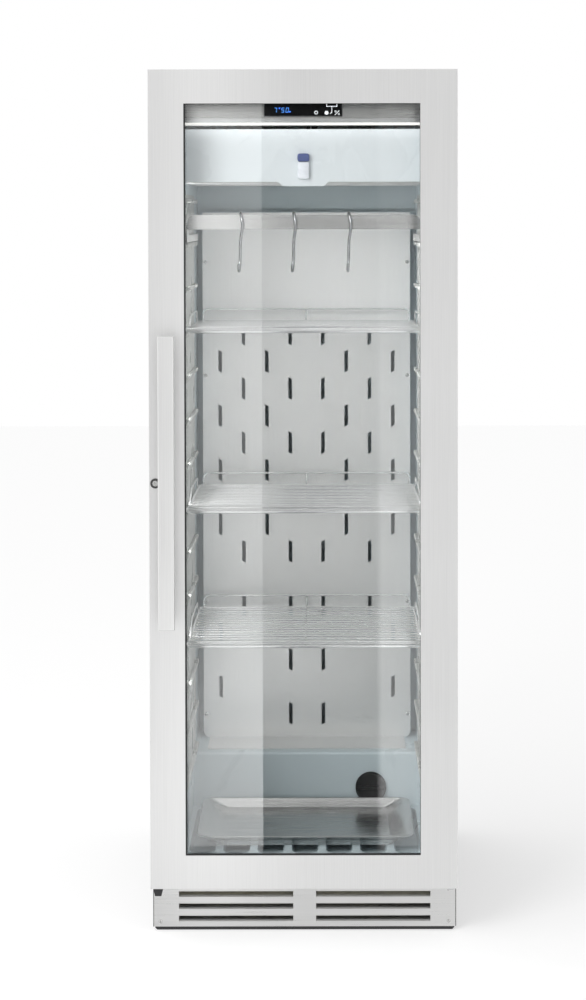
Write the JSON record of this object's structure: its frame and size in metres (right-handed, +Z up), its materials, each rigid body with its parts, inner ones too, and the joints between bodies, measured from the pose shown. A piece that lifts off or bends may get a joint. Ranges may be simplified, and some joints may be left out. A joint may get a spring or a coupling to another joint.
{
  "type": "dry aging cabinet",
  "caption": "Upright glass-door dry aging cabinet with hanging rail and hooks, wire shelves, drip tray, slotted air duct, control strip and a cooling unit.",
  "frame": {"origin": "floor level under the middle of the whole cabinet, handle included", "axes": "+Z up, the door faces -Y, +X to the right as the user faces the door"},
  "size_m": [0.595, 0.728, 1.685],
  "materials": {
    "brushed_door_steel": "satin, fine grain",
    "bright_interior_steel": "satin",
    "polished_wire": "polished",
    "black_case_paint": "fine texture",
    "zinc_sheet": "satin",
    "pale_liner": "satin",
    "white_cover": "satin",
    "foam": "matt cell foam",
    "fixings": "satin",
    "coil_aluminium": "mill",
    "black_plastic": "moulded",
    "display_gloss": "gloss",
    "lit_diffuser": "diffusing",
    "sensor_plastic": "gloss",
    "black_rubber": "matt",
    "grey_gasket": "matt",
    "door_glass": "clear",
    "compressor_paint": "gloss",
    "copper_pipe": "drawn"
  },
  "bodies": {
    "cabinet": {"side_panel_left": "black_case_paint", "side_panel_right": "black_case_paint", "top_panel": "black_case_paint", "back_panel": "zinc_sheet", "rear_cover": "zinc_sheet", "base_tray": "black_case_paint", "insulation_foam": "foam", "inner_liner": "pale_liner", "runner_left": "pale_liner", "runner_right": "pale_liner", "duct_panel": "bright_interior_steel", "panel_screws": "fixings", "evaporator_coil": "coil_aluminium", "evaporator_fan_holder": "bright_interior_steel", "evaporator_cover": "white_cover", "cover_clips": "white_cover", "air_sensor": "sensor_plastic", "control_fascia": "bright_interior_steel", "display_panel": "display_gloss", "light_profile": "coil_aluminium", "light_diffuser": "lit_diffuser", "kick_plate": "brushed_door_steel", "hinge_bracket_top": "zinc_sheet", "hinge_bracket_bottom": "zinc_sheet", "hinge_pins": "fixings", "lock_keeper": "zinc_sheet", "compressor": "compressor_paint", "compressor_mounts": "black_rubber", "relay_box": "black_plastic", "condenser_coil": "coil_aluminium", "condenser_fan_holder": "zinc_sheet", "evaporation_pan": "black_plastic", "refrigerant_pipes": "copper_pipe", "power_inlet": "black_plastic"},
    "door": {"door_frame": "brushed_door_steel", "door_inner_frame": "white_cover", "outer_glass": "door_glass", "inner_glass": "door_glass", "glass_spacer": "coil_aluminium", "glazing_seal": "black_rubber", "door_gasket": "grey_gasket", "handle": "brushed_door_steel", "lock_barrel": "fixings", "door_rest_block": "black_plastic"},
    "lock": {"lock_plug": "fixings"},
    "evaporator_rotor": {"evaporator_fan": "black_plastic"},
    "condenser_rotor": {"condenser_fan": "black_plastic"},
    "hanger": {"hanger_rail": "bright_interior_steel"},
    "hook_left": {"s_hook_left": "polished_wire"},
    "hook_middle": {"s_hook_middle": "polished_wire"},
    "hook_right": {"s_hook_right": "polished_wire"},
    "wire_shelf_low": {"shelf_low": "polished_wire"},
    "wire_shelf_middle": {"shelf_middle": "polished_wire"},
    "wire_shelf_high": {"shelf_high": "polished_wire"},
    "tray": {"drip_tray": "bright_interior_steel"},
    "filter": {"air_filter": "black_plastic"},
    "front_left_foot": {"foot_front_left": "black_plastic"},
    "front_right_foot": {"foot_front_right": "black_plastic"},
    "rear_left_foot": {"foot_rear_left": "black_plastic"},
    "rear_right_foot": {"foot_rear_right": "black_plastic"}
  },
  "joints": [
    {"name": "door_hinge", "type": "hinge", "parent": "cabinet", "child": "door", "pos_m": [0.2855, -0.294, 0.89], "axis": [0, 0, 1], "range_deg": [0, 105]},
    {"name": "lock_turn", "type": "hinge", "parent": "door", "child": "lock", "pos_m": [-0.2854, -0.316, 0.889], "axis": [0, 1, 0], "range_deg": [0, 90]},
    {"name": "evaporator_fan_spin", "type": "hinge", "parent": "cabinet", "child": "evaporator_rotor", "pos_m": [0, 0.15, 1.552], "axis": [0, 1, 0], "continuous": true},
    {"name": "condenser_fan_spin", "type": "hinge", "parent": "cabinet", "child": "condenser_rotor", "pos_m": [-0.12, 0.229, 0.084], "axis": [0, 1, 0], "continuous": true},
    {"name": "hanger_slide", "type": "slide", "parent": "cabinet", "child": "hanger", "axis": [0, -1, 0], "range_m": [0, 0.018]},
    {"name": "hook_left_slide", "type": "slide", "parent": "hanger", "child": "hook_left", "axis": [1, 0, 0], "range_m": [-0.08, 0.04]},
    {"name": "hook_middle_slide", "type": "slide", "parent": "hanger", "child": "hook_middle", "axis": [1, 0, 0], "range_m": [-0.04, 0.05]},
    {"name": "hook_right_slide", "type": "slide", "parent": "hanger", "child": "hook_right", "axis": [1, 0, 0], "range_m": [-0.04, 0.11]},
    {"name": "tray_slide", "type": "slide", "parent": "cabinet", "child": "tray", "axis": [0, -1, 0], "range_m": [0, 0.08]},
    {"name": "filter_turn", "type": "hinge", "parent": "cabinet", "child": "filter", "pos_m": [0.138, 0.108, 0.1763], "axis": [0, 1, 0], "range_deg": [0, 60]},
    {"name": "shelf_low_slide", "type": "slide", "parent": "cabinet", "child": "wire_shelf_low", "axis": [0, -1, 0], "range_m": [0, 0.038]},
    {"name": "shelf_middle_slide", "type": "slide", "parent": "cabinet", "child": "wire_shelf_middle", "axis": [0, -1, 0], "range_m": [0, 0.038]},
    {"name": "shelf_high_slide", "type": "slide", "parent": "cabinet", "child": "wire_shelf_high", "axis": [0, -1, 0], "range_m": [0, 0.038]},
    {"name": "foot_front_left_turn", "type": "hinge", "parent": "cabinet", "child": "front_left_foot", "pos_m": [-0.262, -0.22, 0], "axis": [0, 0, 1], "continuous": true},
    {"name": "foot_front_right_turn", "type": "hinge", "parent": "cabinet", "child": "front_right_foot", "pos_m": [0.262, -0.22, 0], "axis": [0, 0, 1], "continuous": true},
    {"name": "foot_rear_left_turn", "type": "hinge", "parent": "cabinet", "child": "rear_left_foot", "pos_m": [-0.262, 0.328, 0], "axis": [0, 0, 1], "continuous": true},
    {"name": "foot_rear_right_turn", "type": "hinge", "parent": "cabinet", "child": "rear_right_foot", "pos_m": [0.262, 0.328, 0], "axis": [0, 0, 1], "continuous": true}
  ]
}
